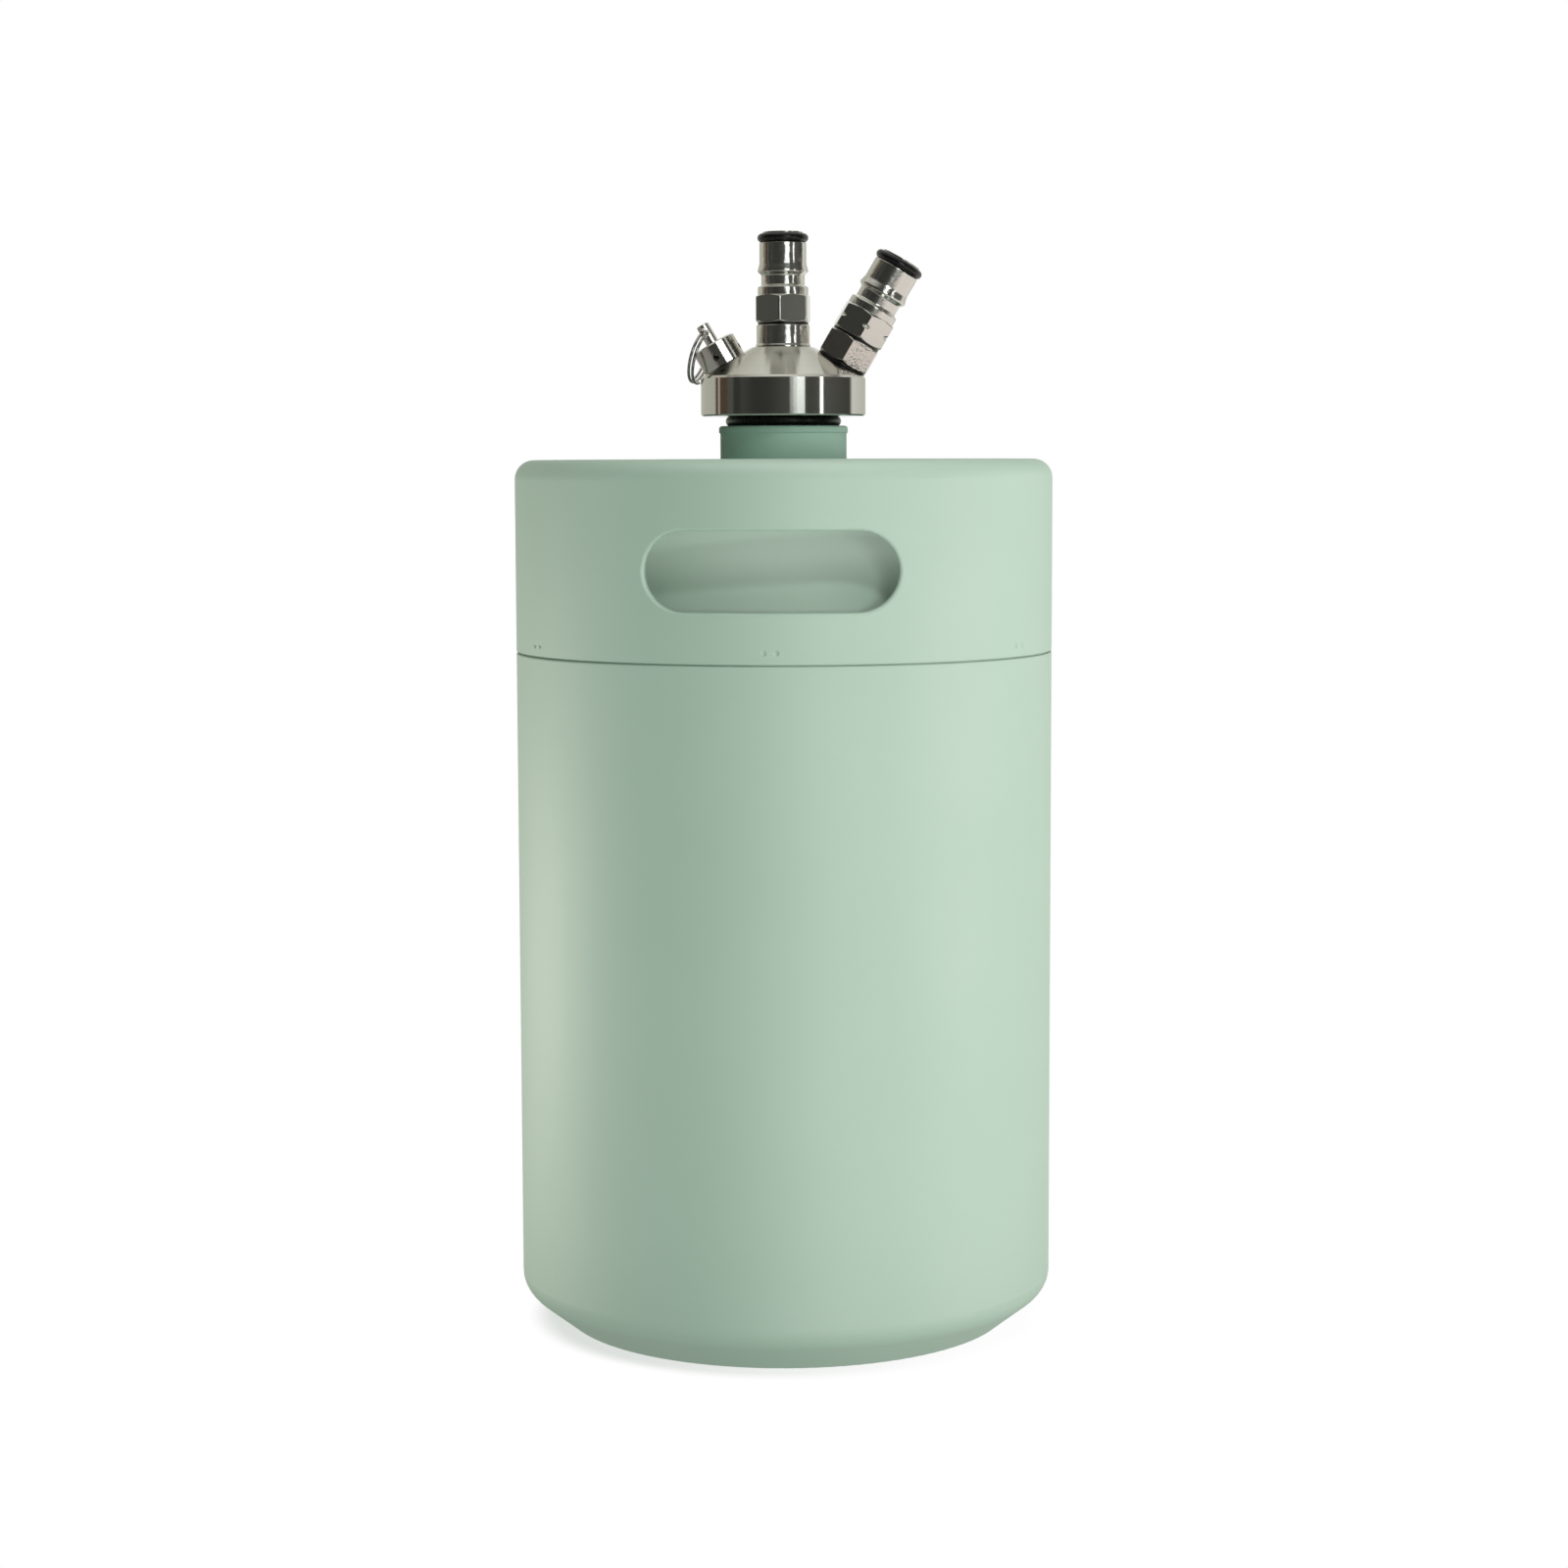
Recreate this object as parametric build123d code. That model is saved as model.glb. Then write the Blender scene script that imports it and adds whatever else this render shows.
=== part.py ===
"""Insulated mini keg: double-walled vessel, carrying ring and a screw cap with two ball-lock posts.

Millimetres. The origin is the middle of the foot, on the floor. +Z is up, -Y is the front with a
hand slot, +X is the side of the gas post and -X the side of the relief valve.
"""
from build123d import *
from math import asin, atan2, cos, degrees, pi, sin, sqrt
import os

os.makedirs("parts", exist_ok=True)

# Sheet metal and general fits
shell_sheet = 1.0
vessel_sheet = 0.8
fit_gap = 0.1
cut_overrun = 5.0

# Outer shell
body_radius = 91.5
foot_radius = 76.0
foot_width = 2.5
foot_leg_height = 7.0
foot_edge_radius = 1.2
chamfer_height = 12.1
corner_radius = 9.0
seam_height = 230.6
seam_gap = 0.5
seam_edge_radius = 0.7
shoulder_rise = 6.0
shoulder_radius = 10.0
dome_rise = 49.4
collar_height = 4.0
collar_root_radius = 2.5

# Handle ring
ring_sheet = 1.0
ring_height = 64.6
ring_corner_radius = 6.5
ring_rim_width = 12.5
ring_rim_drop = 6.0
ring_rim_radius = 3.0
slot_length = 83.4
slot_height = 28.2
slot_rise = 29.1
slot_lip_thickness = 1.2
slot_lip_depth = 4.2
slot_lip_radius = 1.0
weld_pairs = 6
weld_pair_spacing = 4.0
weld_rise = 3.6
weld_width = 2.0
weld_depth = 0.4

# Inner vessel and base
insulation_gap = 5.8
vessel_corner_radius = 16.0
vessel_shoulder_radius = 14.0
base_rise = 7.0
base_rim_radius = 3.0
base_rim_clearance = 1.0
evacuation_hole_radius = 1.5
seal_disc_radius = 13.0
seal_disc_thickness = 0.8

# Neck and its thread
neck_radius = 21.5
neck_wall = 5.4
neck_rise = 21.0
neck_inner_length = 6.0
neck_lip_proud = 0.45
neck_lip_height = 2.6
neck_lip_rounding = 1.0
thread_pitch = 4.0
thread_play = 0.3
thread_root_width = 2.2
thread_crest_width = 1.2
thread_height = 0.8
thread_turns = 2
thread_lead_in = 2.7
groove_extra_turns = 1

# Cap
seal_height = 3.3
seal_inset = 1.85
seal_width = 3.2
seal_flat_width = 1.2
flange_overhang = 6.6
flange_height = 13.2
flange_edge_chamfer = 0.5
cone_height = 10.0
cone_top_radius = 11.0
plug_gap = 0.5
plug_length = 17.0
plug_wall = 4.1
plug_roof_height = 1.5
plug_edge_chamfer = 0.8

# Ports on the cone
port_inset = 8.1
port_seat_depth = 1.1
port_seat_margin = 0.4
port_passage_radius = 2.5
port_passage_length = 24.0
spigot_radius = 6.9
spigot_length = 9.0

# Ball-lock post, from the bottom of its hex upwards
hex_width = 17.46
hex_height = 9.3
hex_corner_chamfer = 0.8
liquid_hex_turn = -4.0
gas_hex_turn = 7.3
gas_adapter_turn = -0.4
post_collar_radius = 8.6
post_collar_height = 2.6
post_groove_radius = 7.4
post_groove_height = 3.3
post_groove_slope = 0.7
post_lip_radius = 8.6
post_lip_slope = 1.1
post_lip_height = 0.6
post_barrel_radius = 8.0
post_taper_height = 2.2
post_barrel_height = 7.1
post_gland_radius = 5.65
post_gland_height = 3.1
post_top_radius = 6.8
post_top_height = 0.5
post_edge_chamfer = 0.4
post_thread_radius = 6.7
post_thread_depth = 9.0
post_chamber_radius = 5.0
post_seat_height = 24.5
post_seat_slope = 1.8
post_mouth_radius = 3.2
notch_height = 1.7
notch_depth = 0.85
washer_width = 1.9
washer_thickness = 0.8

# Poppet valve inside a post
poppet_head_gap = 0.8
poppet_head_height = 2.0
poppet_pin_gap = 1.3
poppet_pin_recess = 1.2
poppet_guide_radius = 1.4
poppet_seal_rim_height = 1.5
poppet_seal_gap = 0.1
retainer_thickness = 1.0
retainer_hole_radius = 0.9
retainer_holes = 3
running_gap = 0.08
poppet_spring_wire = 0.6
poppet_spring_turns = 5

# Liquid side
collar_radius = 9.05
collar_flare = 0.35
collar_flare_height = 1.2
collar_full_height = 7.6
tube_radius = 3.95
tube_wall = 0.75
tube_flange_width = 2.25
tube_flange_thickness = 0.9
tube_ring_section = 1.5
tube_floor_gap = 4.0

# Gas side
gas_ring_width = 1.85
gas_ring_height = 1.4
gas_hex_height = 8.8

# Relief valve, along its own axis from the seat on the cone
gasket_thickness = 0.6
gasket_width = 1.2
relief_radius = 7.65
relief_height = 8.2
relief_top_chamfer = 0.5
relief_spigot_radius = 6.0
relief_spigot_length = 7.0
relief_chamber_radius = 4.4
relief_roof_thickness = 1.8
relief_hole_radius = 1.05
relief_hole_height = 3.1
relief_holes = 4
relief_hole_turn = -9.0
relief_seat_length = 4.0
relief_orifice_radius = 2.2
relief_seal_thickness = 1.4
relief_plate_gap = 0.5
relief_plate_thickness = 1.0
relief_pin_radius = 1.0
stem_radius = 2.2
stem_reach = 7.4
stem_edge_chamfer = 0.3
stem_hole_radius = 1.65
stem_hole_inset = 2.8
stem_turn = -21.0
relief_spring_wire = 0.6
relief_spring_turns = 4

# Pull ring
ring_mean_radius = 8.9
ring_wire = 1.0
ring_pitch = 1.45
ring_turns = 2
ring_lean = 18.0

# Radii that follow
step_radius = body_radius - ring_sheet - 2 * fit_gap
foot_inner_radius = foot_radius - foot_width
vessel_radius = step_radius - shell_sheet - insulation_gap
neck_hole_radius = neck_radius + fit_gap
neck_bore_radius = neck_radius - neck_wall
neck_lip_radius = neck_radius + neck_lip_proud
collar_outer_radius = neck_hole_radius + shell_sheet
thread_crest_radius = neck_bore_radius + thread_height
plug_core_radius = neck_bore_radius - plug_gap
plug_bore_radius = plug_core_radius - plug_wall
seal_radius = neck_radius - seal_inset
flange_radius = neck_radius + flange_overhang
port_radius = flange_radius - port_inset
post_ring_section = post_gland_height - fit_gap
washer_radius = post_thread_radius + washer_width
poppet_head_radius = post_chamber_radius - poppet_head_gap
poppet_pin_radius = post_mouth_radius - poppet_pin_gap
poppet_spring_radius = (post_chamber_radius + poppet_guide_radius) / 2
collar_flare_radius = collar_radius + collar_flare
tube_bore_radius = tube_radius - tube_wall
tube_flange_radius = tube_radius + tube_flange_width
gas_ring_radius = spigot_radius + fit_gap + gas_ring_width
gasket_radius = relief_spigot_radius + fit_gap + gasket_width
relief_plate_radius = relief_chamber_radius - relief_plate_gap
relief_seal_radius = relief_plate_radius - fit_gap
relief_spring_radius = (stem_radius + relief_chamber_radius) / 2

# Heights that follow
ring_bottom = seam_height + seam_gap
ring_top = ring_bottom + ring_height
slot_centre_height = ring_bottom + slot_rise
shoulder_height = seam_height + shoulder_rise
dome_top_height = shoulder_height + dome_rise
dome_lean = (step_radius**2 - collar_outer_radius**2) / (2 * dome_rise)
dome_centre = (shoulder_height + dome_top_height) / 2 - dome_lean
dome_radius = sqrt(step_radius**2 + (shoulder_height - dome_centre) ** 2)
neck_top_height = dome_top_height + neck_rise
flange_bottom = neck_top_height + seal_height
flange_top = flange_bottom + flange_height
cone_top = flange_top + cone_height
cone_slope = degrees(atan2(cone_height, flange_radius - cone_top_radius))
cone_rise_per_radius = cone_height / (flange_radius - cone_top_radius)
port_height = flange_top + cone_rise_per_radius * (flange_radius - port_radius)
collar_top = cone_top + collar_full_height
liquid_post_height = collar_top + washer_thickness
plug_bottom = flange_bottom - plug_length
plug_roof = flange_bottom + plug_roof_height
thread_low = plug_bottom + thread_lead_in
vessel_bottom = base_rise + insulation_gap
vessel_dome_radius = dome_radius - shell_sheet - insulation_gap
vessel_floor = vessel_bottom + vessel_sheet
collar_level = hex_height + post_collar_height
lip_level = collar_level + post_groove_slope + post_groove_height + post_lip_slope + post_lip_height
gland_level = lip_level + post_taper_height + post_barrel_height
post_top_level = gland_level + post_gland_height
post_full_height = post_top_level + post_top_height
seat_rise_per_radius = post_seat_slope / (post_chamber_radius - post_mouth_radius)
seal_rim_level = post_seat_height + seat_rise_per_radius * (post_chamber_radius - poppet_head_radius) - poppet_seal_gap
poppet_head_top = seal_rim_level - poppet_seal_rim_height
poppet_head_level = poppet_head_top - poppet_head_height
gas_post_level = gas_ring_height + gas_hex_height + washer_thickness
relief_bottom = gasket_thickness
relief_top = relief_bottom + relief_height
relief_plug_bottom = relief_bottom - relief_spigot_length
relief_seat_level = relief_plug_bottom + relief_seat_length
relief_plate_level = relief_seat_level + relief_seal_thickness
relief_spring_low = relief_plate_level + relief_plate_thickness
relief_roof = relief_top - relief_roof_thickness
stem_top = relief_top + stem_reach
stem_hole_level = stem_top - stem_hole_inset


def turned(outline):
    """Solid of revolution from a face drawn as radius across and height up."""
    return revolve(Plane.XZ * outline, Axis.Z)


def turned_points(*points):
    """Solid of revolution from the corners of its half section."""
    return turned(make_face(Polyline(*points, close=True)))


def sheet(path, thickness, side=Side.LEFT):
    """Turned sheet metal: the path is its shown face, and the sheet lies on the given side of it."""
    return turned(make_face(path.offset_2d(thickness, side=side)))


def rod(radius, low, high):
    """Cylinder on the Z axis between two heights."""
    return Pos(0, 0, low) * Cylinder(radius, high - low, align=(Align.CENTER, Align.CENTER, Align.MIN))


def tube(outer, inner, low, high):
    """Hollow cylinder on the Z axis between two heights."""
    return rod(outer, low, high) - rod(inner, low - cut_overrun, high + cut_overrun)


def o_ring(outer, section, height):
    """Round-section ring with its middle at the given height."""
    return Pos(0, 0, height) * Torus(outer - section / 2, section / 2)


def pressed_ring(outer, width, low, high, flat):
    """Seal ring that is squeezed between two faces: flat above and below, round inside and outside."""
    middle = outer - width / 2
    half_flat = flat / 2
    mid_height = (low + high) / 2
    bottom = Line((middle - half_flat, low), (middle + half_flat, low))
    outside = ThreePointArc((middle + half_flat, low), (outer, mid_height), (middle + half_flat, high))
    top = Line((middle + half_flat, high), (middle - half_flat, high))
    inside = ThreePointArc((middle - half_flat, high), (outer - width, mid_height), (middle - half_flat, low))
    return turned(make_face([bottom, outside, top, inside]))


def hexagon(width, low, high, chamfer, turn):
    """Hexagonal prism whose corners are turned off above and below. One corner is turned from -Y."""
    corner = width / sqrt(3)
    prism = extrude(Rot(0, 0, turn - 90) * RegularPolygon(width / 2, 6, major_radius=False), high - low)
    blank = turned_points(
        (0, low), (width / 2, low), (corner, low + chamfer), (corner, high - chamfer), (width / 2, high), (0, high)
    )
    return (Pos(0, 0, low) * prism) & blank


def helical_bar(radius, pitch, turns, low, section):
    """Bar of the given section wound on a helix about Z that starts on +X at the given height."""
    path = Pos(0, 0, low) * Helix(pitch, pitch * turns, radius)
    start = Plane(path @ 0, x_dir=(1, 0, 0), z_dir=path % 0)
    return sweep(start * section, path, is_frenet=True)


def thread_section(inner, outer, inner_width, outer_width, path_radius):
    """Thread tooth: across is the distance from the path, up is along the axis."""
    near = inner - path_radius
    far = outer - path_radius
    return make_face(
        Polyline(
            (near, -inner_width / 2), (far, -outer_width / 2), (far, outer_width / 2), (near, inner_width / 2), close=True
        )
    )


def coil(radius, wire, low, high, turns):
    """Compression spring between two heights, as one unbroken wire."""
    pitch = (high - low - wire) / turns
    report_gap(f"spring of {turns} turns", radius, pitch, turns, wire)
    return helical_bar(radius, pitch, turns, low + wire / 2, Circle(wire / 2))


def report_gap(name, radius, pitch, turns, wire, steps_per_turn=36):
    """Print the least gap between the turns of a wound wire, measured on points of its path."""
    count = int(turns * steps_per_turn) + 1
    angles = [2 * pi * step / steps_per_turn for step in range(count)]
    points = [Vector(radius * cos(a), radius * sin(a), pitch * a / (2 * pi)) for a in angles]
    gap = min(
        (points[i] - points[j]).length
        for i in range(count)
        for j in range(i + steps_per_turn // 2, count)
    )
    print(f"{name}: least gap between turns {gap - wire:.2f} mm")


# Outer shell
def make_outer_shell():
    wall = FilletPolyline(
        (foot_inner_radius, foot_leg_height),
        (foot_inner_radius, 0),
        (foot_radius, 0),
        (body_radius, chamfer_height),
        (body_radius, seam_height),
        (step_radius, seam_height),
        (step_radius, shoulder_height),
        radius=[foot_edge_radius / 2, foot_edge_radius, corner_radius, seam_edge_radius, fit_gap],
    )
    middle_angle = (asin(collar_outer_radius / dome_radius) + asin(step_radius / dome_radius)) / 2
    dome = ThreePointArc(
        (step_radius, shoulder_height),
        (dome_radius * sin(middle_angle), dome_centre + dome_radius * cos(middle_angle)),
        (collar_outer_radius, dome_top_height),
    )
    collar_end = dome_top_height + collar_height
    collar = Line((collar_outer_radius, dome_top_height), (collar_outer_radius, collar_end))
    path = Wire([*wall.edges(), dome.edge(), collar.edge()])
    path = rounded(path, step_radius, shoulder_height, shoulder_radius)
    path = rounded(path, collar_outer_radius, dome_top_height, collar_root_radius)
    return sheet(path, shell_sheet)


def rounded(path, across, height, radius):
    """Path with the corner at the given place rounded."""
    corner = path.vertices().sort_by_distance(Vertex(across, height, 0))[0]
    return path.fillet_2d(radius, [corner])


# Handle ring
def slot_prism(length, height):
    """Stadium bar along Y through the ring, at the height of the slots."""
    stadium = Plane.XZ * SlotOverall(length, height)
    return Pos(0, 0, slot_centre_height) * extrude(stadium, body_radius + cut_overrun, both=True)


def make_handle_ring():
    path = FilletPolyline(
        (body_radius, ring_bottom),
        (body_radius, ring_top),
        (body_radius - ring_rim_width, ring_top),
        (body_radius - ring_rim_width, ring_top - ring_rim_drop),
        radius=[ring_corner_radius, ring_rim_radius],
    )
    ring = sheet(Wire(path.edges()), ring_sheet)
    lip_band = tube(body_radius, body_radius - slot_lip_depth, ring_bottom, ring_top)
    ring += lip_band & slot_prism(slot_length, slot_height)
    ring -= slot_prism(slot_length - 2 * slot_lip_thickness, slot_height - 2 * slot_lip_thickness)
    ring = fillet(slot_edges(ring), slot_lip_radius)
    dimple_radius = (weld_width**2 / 4 + weld_depth**2) / (2 * weld_depth)
    half_turn = degrees(weld_pair_spacing / body_radius) / 2
    for pair in range(weld_pairs):
        for side in (-half_turn, half_turn):
            turn = 360 / weld_pairs * pair + side
            centre = (0, -(body_radius + dimple_radius - weld_depth), ring_bottom + weld_rise)
            ring -= Rot(0, 0, turn) * Pos(*centre) * Sphere(dimple_radius)
    return ring


def slot_edges(ring):
    """Outer edges of both slots: they lie on the ring's outer face, between its lower and upper edges."""
    low = slot_centre_height - slot_height / 2
    high = slot_centre_height + slot_height / 2
    chosen = []
    for edge in ring.edges():
        points = [edge @ 0, edge @ (1 / 2), edge @ 1]
        on_face = all(abs(sqrt(p.X**2 + p.Y**2) - body_radius) < fit_gap for p in points)
        if on_face and all(low < p.Z < high for p in points):
            chosen.append(edge)
    return chosen


# Inner vessel, base and neck
def make_inner_vessel():
    knuckle_height = dome_centre + sqrt(vessel_dome_radius**2 - vessel_radius**2)
    mouth_height = dome_centre + sqrt(vessel_dome_radius**2 - neck_hole_radius**2)
    wall = FilletPolyline(
        (0, vessel_bottom), (vessel_radius, vessel_bottom), (vessel_radius, knuckle_height), radius=vessel_corner_radius
    )
    middle_angle = (asin(neck_hole_radius / vessel_dome_radius) + asin(vessel_radius / vessel_dome_radius)) / 2
    dome = ThreePointArc(
        (vessel_radius, knuckle_height),
        (vessel_dome_radius * sin(middle_angle), dome_centre + vessel_dome_radius * cos(middle_angle)),
        (neck_hole_radius, mouth_height),
    )
    path = rounded(Wire([*wall.edges(), dome.edge()]), vessel_radius, knuckle_height, vessel_shoulder_radius)
    return sheet(path, vessel_sheet) - rod(neck_hole_radius, dome_centre, neck_top_height)


def make_base_dish():
    rim_radius = foot_inner_radius - fit_gap
    path = FilletPolyline(
        (0, base_rise), (rim_radius, base_rise), (rim_radius, base_rim_clearance), radius=base_rim_radius
    )
    dish = sheet(Wire(path.edges()), shell_sheet, Side.RIGHT)
    return dish - rod(evacuation_hole_radius, 0, base_rise + cut_overrun)


def make_vacuum_seal_disc():
    underside = base_rise - shell_sheet
    return rod(seal_disc_radius, underside - seal_disc_thickness, underside)


def make_neck_tube():
    bottom = dome_centre + vessel_dome_radius - neck_inner_length
    lip_bottom = neck_top_height - neck_lip_height
    outline = make_face(
        Polyline(
            (0, bottom),
            (neck_radius, bottom),
            (neck_radius, lip_bottom),
            (neck_lip_radius, lip_bottom + neck_lip_radius - neck_radius),
            (neck_lip_radius, neck_top_height),
            (0, neck_top_height),
            close=True,
        )
    )
    corner = outline.vertices().sort_by_distance(Vertex(neck_lip_radius, neck_top_height, 0))[0]
    neck = turned(fillet(corner, neck_lip_rounding))
    bore = rod(neck_bore_radius, bottom - cut_overrun, neck_top_height + cut_overrun)
    groove_low = thread_low - groove_extra_turns * thread_pitch
    groove_turns = (neck_top_height + thread_pitch - groove_low) / thread_pitch
    width_play = 2 * thread_play
    groove = thread_section(
        neck_bore_radius - thread_play,
        thread_crest_radius + thread_play,
        thread_root_width + width_play,
        thread_crest_width + width_play,
        neck_bore_radius,
    )
    bore += helical_bar(neck_bore_radius, thread_pitch, groove_turns, groove_low, groove)
    return neck - bore


# Cap
gas_place = Pos(port_radius, 0, port_height) * Rot(0, cone_slope, 0) * Pos(0, 0, -port_seat_depth)
relief_place = Pos(-port_radius, 0, port_height) * Rot(0, -cone_slope, 0) * Pos(0, 0, -port_seat_depth)


def make_cap_body():
    blank = turned_points(
        (0, plug_bottom),
        (plug_core_radius - plug_edge_chamfer, plug_bottom),
        (plug_core_radius, plug_bottom + plug_edge_chamfer),
        (plug_core_radius, flange_bottom),
        (flange_radius - flange_edge_chamfer, flange_bottom),
        (flange_radius, flange_bottom + flange_edge_chamfer),
        (flange_radius, flange_top - flange_edge_chamfer),
        (flange_radius - flange_edge_chamfer, flange_top + cone_rise_per_radius * flange_edge_chamfer),
        (cone_top_radius, cone_top),
        (0, cone_top),
    )
    tooth = thread_section(
        plug_core_radius - thread_play, thread_crest_radius, thread_root_width, thread_crest_width, plug_core_radius
    )
    cap = blank + helical_bar(plug_core_radius, thread_pitch, thread_turns, thread_low, tooth)
    cap -= rod(plug_bore_radius, plug_bottom - cut_overrun, plug_roof)
    cap -= rod(tube_radius + fit_gap, plug_roof - cut_overrun, cone_top + cut_overrun)
    cap -= rod(spigot_radius + fit_gap, cone_top - spigot_length, cone_top + cut_overrun)
    for place, spigot, length, seat in (
        (gas_place, spigot_radius, spigot_length, gas_ring_radius),
        (relief_place, relief_spigot_radius, relief_spigot_length - gasket_thickness, gasket_radius),
    ):
        cap -= place * rod(seat + port_seat_margin, 0, cut_overrun)
        cap -= place * rod(spigot + fit_gap, -length, cut_overrun)
        cap -= place * rod(port_passage_radius, -port_passage_length, 0)
    return cap


def make_cap_seal_ring():
    return pressed_ring(seal_radius, seal_width, neck_top_height, flange_bottom, seal_flat_width)


# Ball-lock post, in its own frame with the bottom of its hex at zero
def make_post(turn, notched):
    post = hexagon(hex_width, 0, hex_height, hex_corner_chamfer, turn)
    if notched:
        corner = hex_width / sqrt(3)
        middle = hex_height / 2
        post -= turned_points(
            (corner - notch_depth, middle),
            (corner + cut_overrun, middle - notch_height / 2 * (1 + cut_overrun / notch_depth)),
            (corner + cut_overrun, middle + notch_height / 2 * (1 + cut_overrun / notch_depth)),
        )
    groove_low = collar_level + post_groove_slope
    groove_high = groove_low + post_groove_height
    lip_low = groove_high + post_lip_slope
    taper_high = lip_level + post_taper_height
    post += turned_points(
        (0, hex_height / 2),
        (post_collar_radius, hex_height / 2),
        (post_collar_radius, collar_level),
        (post_groove_radius, groove_low),
        (post_groove_radius, groove_high),
        (post_lip_radius, lip_low),
        (post_lip_radius, lip_level),
        (post_barrel_radius, taper_high),
        (post_barrel_radius, gland_level),
        (post_gland_radius, gland_level),
        (post_gland_radius, post_top_level),
        (post_top_radius, post_top_level),
        (post_top_radius, post_full_height - post_edge_chamfer),
        (post_top_radius - post_edge_chamfer, post_full_height),
        (0, post_full_height),
    )
    seat_high = post_seat_height + post_seat_slope
    mouth_high = post_full_height - post_edge_chamfer
    return post - turned_points(
        (0, -cut_overrun),
        (post_thread_radius, -cut_overrun),
        (post_thread_radius, post_thread_depth),
        (post_chamber_radius, post_thread_depth),
        (post_chamber_radius, post_seat_height),
        (post_mouth_radius, seat_high),
        (post_mouth_radius, mouth_high),
        (post_mouth_radius + post_edge_chamfer, post_full_height),
        (post_mouth_radius + post_edge_chamfer, post_full_height + cut_overrun),
        (0, post_full_height + cut_overrun),
    )


def make_post_o_ring():
    outer = post_gland_radius + post_ring_section
    return o_ring(outer, post_ring_section, gland_level + post_gland_height / 2)


def make_post_washer():
    return tube(washer_radius, post_thread_radius, -washer_thickness, 0)


# Poppet valve, in the post's frame
def make_poppet():
    head = rod(poppet_head_radius, poppet_head_level, poppet_head_top)
    pin = rod(poppet_pin_radius, poppet_head_top, post_full_height - poppet_pin_recess)
    guide = rod(poppet_guide_radius, post_thread_depth, poppet_head_level)
    return head + pin + guide


def make_poppet_seal():
    inner = poppet_pin_radius + fit_gap
    top = seal_rim_level + seat_rise_per_radius * (poppet_head_radius - post_mouth_radius)
    return turned_points(
        (inner, poppet_head_top),
        (poppet_head_radius, poppet_head_top),
        (poppet_head_radius, seal_rim_level),
        (post_mouth_radius, top),
        (inner, top),
    )


def make_poppet_retainer():
    disc = tube(
        post_chamber_radius - fit_gap,
        poppet_guide_radius + running_gap,
        post_thread_depth,
        post_thread_depth + retainer_thickness,
    )
    circle_radius = (post_chamber_radius + poppet_guide_radius) / 2
    for hole in range(retainer_holes):
        place = Rot(0, 0, 360 / retainer_holes * hole) * Pos(circle_radius, 0, 0)
        disc -= place * rod(retainer_hole_radius, 0, post_thread_depth + cut_overrun)
    return disc


def make_poppet_spring():
    low = post_thread_depth + retainer_thickness
    return coil(poppet_spring_radius, poppet_spring_wire, low, poppet_head_level, poppet_spring_turns)


# Liquid side
def make_liquid_post_adapter():
    spigot_top = liquid_post_height + post_thread_depth - tube_flange_thickness
    adapter = turned_points(
        (0, cone_top - spigot_length),
        (spigot_radius, cone_top - spigot_length),
        (spigot_radius, cone_top),
        (collar_flare_radius, cone_top),
        (collar_flare_radius, cone_top + collar_flare_height / 2),
        (collar_radius, cone_top + collar_flare_height),
        (collar_radius, collar_top),
        (post_thread_radius - fit_gap, collar_top),
        (post_thread_radius - fit_gap, spigot_top),
        (0, spigot_top),
    )
    adapter -= rod(tube_radius + fit_gap, cone_top - spigot_length - cut_overrun, spigot_top + cut_overrun)
    gland_radius = tube_radius + fit_gap + tube_ring_section
    return adapter - rod(gland_radius, spigot_top - tube_ring_section - fit_gap, spigot_top + cut_overrun)


def make_dip_tube():
    flange_top_level = liquid_post_height + post_thread_depth
    dip = rod(tube_radius, vessel_floor + tube_floor_gap, flange_top_level)
    dip += rod(tube_flange_radius, flange_top_level - tube_flange_thickness, flange_top_level)
    return dip - rod(tube_bore_radius, 0, flange_top_level + cut_overrun)


def make_dip_tube_o_ring():
    spigot_top = liquid_post_height + post_thread_depth - tube_flange_thickness
    outer = tube_radius + fit_gap / 2 + tube_ring_section
    return o_ring(outer, tube_ring_section, spigot_top - tube_ring_section / 2 - fit_gap / 2)


# Gas side, in the frame of the gas port
def make_gas_adapter():
    hex_top = gas_ring_height + gas_hex_height
    adapter = hexagon(hex_width, gas_ring_height, hex_top, hex_corner_chamfer, gas_adapter_turn)
    adapter += rod(spigot_radius, -spigot_length, gas_ring_height)
    adapter += rod(post_thread_radius - fit_gap, hex_top, gas_post_level + post_thread_depth)
    return adapter - rod(tube_bore_radius, -spigot_length - cut_overrun, gas_post_level + post_thread_depth + cut_overrun)


def make_gas_adapter_o_ring():
    return pressed_ring(gas_ring_radius, gas_ring_width, 0, gas_ring_height, gas_ring_width / 3)


# Relief valve, in the frame of the relief port
def make_relief_valve_body():
    body = turned_points(
        (0, relief_plug_bottom),
        (relief_spigot_radius, relief_plug_bottom),
        (relief_spigot_radius, relief_bottom),
        (relief_radius, relief_bottom),
        (relief_radius, relief_top - relief_top_chamfer),
        (relief_radius - relief_top_chamfer, relief_top),
        (0, relief_top),
    )
    body -= rod(relief_chamber_radius, relief_plug_bottom - cut_overrun, relief_roof)
    body -= rod(stem_radius + running_gap, relief_roof - cut_overrun, relief_top + cut_overrun)
    drill = Rot(90, 0, 0) * rod(relief_hole_radius, 0, relief_radius + cut_overrun)
    for hole in range(relief_holes):
        turn = relief_hole_turn + 360 / relief_holes * hole
        body -= Pos(0, 0, relief_bottom + relief_hole_height) * Rot(0, 0, turn) * drill
    return body


def make_relief_valve_gasket():
    return tube(gasket_radius, relief_spigot_radius + fit_gap, 0, gasket_thickness)


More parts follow.
